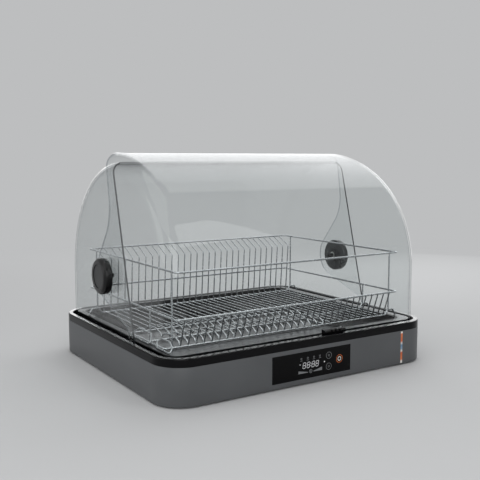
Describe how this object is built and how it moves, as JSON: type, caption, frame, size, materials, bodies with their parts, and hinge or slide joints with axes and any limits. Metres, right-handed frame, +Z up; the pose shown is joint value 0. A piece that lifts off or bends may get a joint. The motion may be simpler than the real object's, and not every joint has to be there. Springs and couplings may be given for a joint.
{
  "type": "dish_sterilizer_cabinet",
  "caption": "Countertop dish dryer and sterilizer with a clear two-piece hood, chrome plate rack, drip tray and heated grey base with a touch panel",
  "frame": {"origin": "middle of the base footprint, on the floor under the rubber feet", "axes": "+X along the length, to the right seen from the front; +Y to the rear; +Z up; the control panel faces -Y"},
  "size_m": [0.561, 0.466, 0.3938],
  "materials": {
    "body_grey": "fine matt grey moulding",
    "strip_paint": "printed white, orange and blue-grey blocks",
    "bezel_black": "gloss black moulding",
    "deck_steel": "satin stainless sheet",
    "tray_black": "satin black moulding",
    "panel_glass": "dark gloss window",
    "clear_cover": "clear polished, slightly smoked",
    "chrome_wire": "bright plated wire",
    "knob_black": "satin black moulding",
    "cap_grey": "matt dark grey disc",
    "foot_rubber": "soft black rubber",
    "plated_steel": "zinc plated",
    "board_green": "circuit board with parts",
    "motor_steel": "grey can",
    "impeller_grey": "light grey moulding",
    "duct_metal": "folded sheet",
    "lamp_glass": "clear tube"
  },
  "bodies": {
    "base": {"base_housing": "body_grey", "screw_bosses": "body_grey", "cord_pocket": "knob_black", "accent_strip": "strip_paint", "base_plate": "plated_steel", "rubber_feet": "foot_rubber", "plate_screws": "plated_steel", "top_bezel": "bezel_black", "deck_plate": "deck_steel", "touch_panel": "panel_glass", "led_display": "tray_black", "touch_springs": "plated_steel", "control_board": "board_green", "power_board": "board_green", "cord_gland": "knob_black", "blower_casing": "tray_black", "fan_motor": "motor_steel", "air_duct": "duct_metal", "ptc_heater": "duct_metal", "uv_lamp": "lamp_glass", "lamp_holders": "impeller_grey", "rear_cover": "clear_cover", "left_knob": "knob_black", "right_knob": "knob_black", "knob_caps": "cap_grey", "pivot_bolts": "plated_steel", "pivot_bushes": "impeller_grey", "pivot_washers": "knob_black", "pivot_nuts": "knob_black"},
    "hood_front": {"front_cover": "clear_cover", "cover_grip": "knob_black"},
    "fan": {"fan_impeller": "impeller_grey", "fan_shaft": "plated_steel"},
    "tray": {"drip_tray": "tray_black"},
    "rack": {"rack_top_rail": "chrome_wire", "rack_mid_rail": "chrome_wire", "rack_floor_rails": "chrome_wire", "rack_posts": "chrome_wire", "rack_rear_wires": "chrome_wire", "rack_floor_wires": "chrome_wire", "rack_front_wires": "chrome_wire", "cup_frame": "chrome_wire", "cup_divider": "chrome_wire", "cup_wires": "chrome_wire", "cup_loops": "chrome_wire"}
  },
  "joints": [
    {"name": "hood_pivot", "type": "hinge", "parent": "base", "child": "hood_front", "pos_m": [0, 0.032, 0.174], "axis": [-1, 0, 0], "range_deg": [0, 100]},
    {"name": "fan_spin", "type": "hinge", "parent": "base", "child": "fan", "pos_m": [-0.155, 0.08, 0.03], "axis": [0, 0, 1], "continuous": true},
    {"name": "tray_lift", "type": "slide", "parent": "base", "child": "tray", "axis": [0, 0, 1], "range_m": [0, 0.012]},
    {"name": "rack_lift", "type": "slide", "parent": "tray", "child": "rack", "axis": [0, 0, 1], "range_m": [0, 0.04]}
  ]
}
